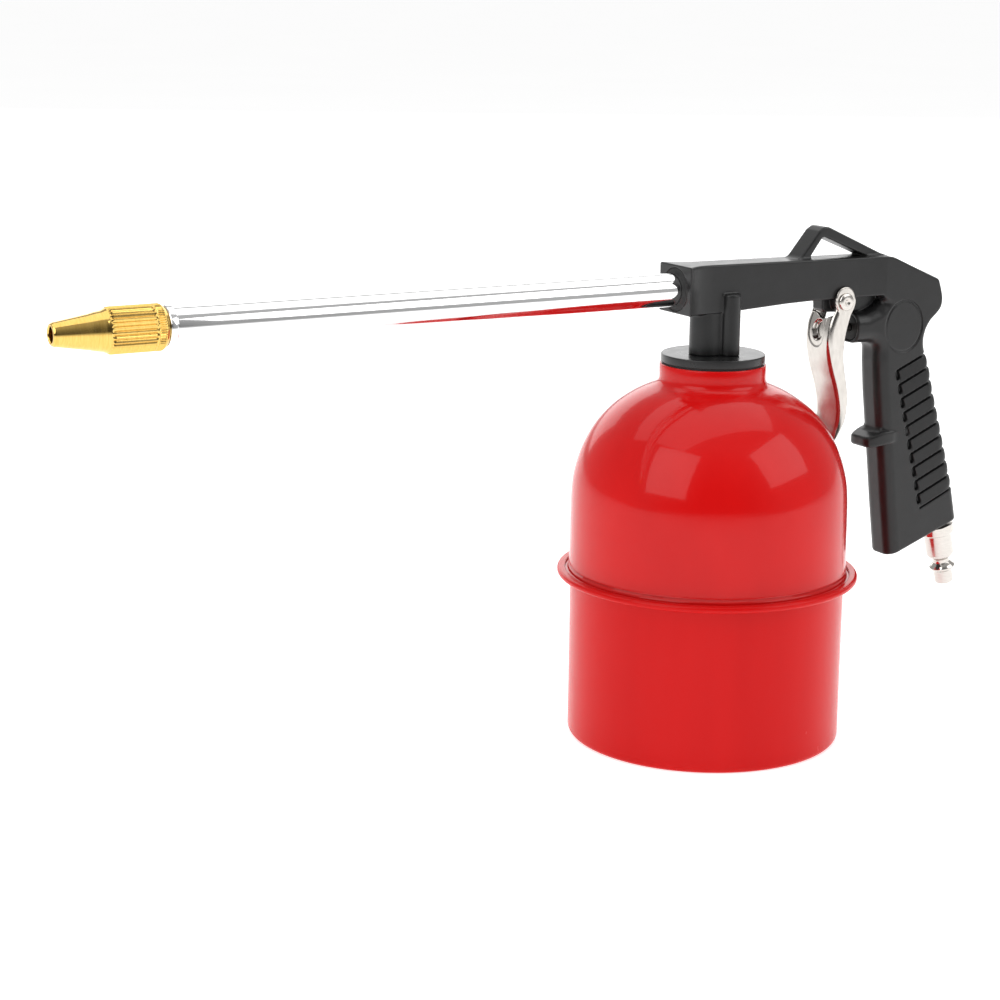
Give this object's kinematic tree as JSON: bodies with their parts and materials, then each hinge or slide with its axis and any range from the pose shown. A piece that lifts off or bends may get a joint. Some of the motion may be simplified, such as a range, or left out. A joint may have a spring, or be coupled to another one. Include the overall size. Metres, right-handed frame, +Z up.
{
  "type": "oil can",
  "caption": "Siphon oil can: a flanged steel can that screws under a trigger air gun with a long spray barrel, an adjustable brass nozzle, a hang loop and an air plug.",
  "frame": {"origin": "centre of the can's flat base, on the surface it stands on", "axes": "+Z up along the can's axis, the barrel and nozzle point along -X, the grip is at +X"},
  "size_m": [0.3626, 0.1098, 0.1854],
  "materials": {
    "red_paint": "gloss",
    "black_body": "satin",
    "black_gland": "satin",
    "chrome": "polished",
    "nickel": "polished",
    "plated_steel": "satin",
    "spring_steel": "satin",
    "brass": "machined",
    "rubber": "matte"
  },
  "bodies": {
    "can": {"cup": "red_paint", "dome": "red_paint", "neck_thread_ring": "plated_steel"},
    "cap_ring": {"lid_gasket": "rubber"},
    "gun": {"gun_body": "black_body", "lid": "black_body", "dip_tube": "plated_steel", "barrel_tube": "chrome", "barrel_seal": "rubber", "fluid_tube": "plated_steel", "tube_bushing": "chrome", "fluid_tip": "brass", "nozzle_o_ring": "rubber", "valve_gland": "black_gland", "stem_packing": "rubber", "valve_spring": "spring_steel", "pivot_pin": "nickel", "pin_clip": "nickel", "air_plug": "nickel", "plug_seal": "rubber"},
    "trigger_lever": {"trigger": "nickel"},
    "valve_rod": {"valve_stem": "plated_steel", "valve_seal": "rubber"},
    "nozzle_cap": {"nozzle": "brass"}
  },
  "joints": [
    {"name": "cap_unscrew", "type": "hinge", "parent": "can", "child": "cap_ring", "pos_m": [0, 0, 0.1383], "axis": [0, 0, 1], "range_deg": [0, 720]},
    {"name": "lift_off", "type": "slide", "parent": "cap_ring", "child": "gun", "axis": [0, 0, 1], "range_m": [0, 0.14]},
    {"name": "trigger_pull", "type": "hinge", "parent": "gun", "child": "trigger_lever", "pos_m": [0.0529, 0, 0.1579], "axis": [0, -1, 0], "range_deg": [0, 14], "stiffness_Nm_per_rad": 0.4, "springref_deg": -11.46},
    {"name": "valve_push", "type": "slide", "parent": "gun", "child": "valve_rod", "axis": [1, 0, 0], "range_m": [0, 0.003], "deforming": ["valve_spring"]},
    {"name": "nozzle_turn", "type": "hinge", "parent": "gun", "child": "nozzle_cap", "pos_m": [-0.2275, 0, 0.1658], "axis": [-1, 0, 0], "range_deg": [0, 720]}
  ],
  "couplings": [
    {"joint": "valve_push", "follows": "trigger_pull", "m_per_rad": 0.011}
  ]
}
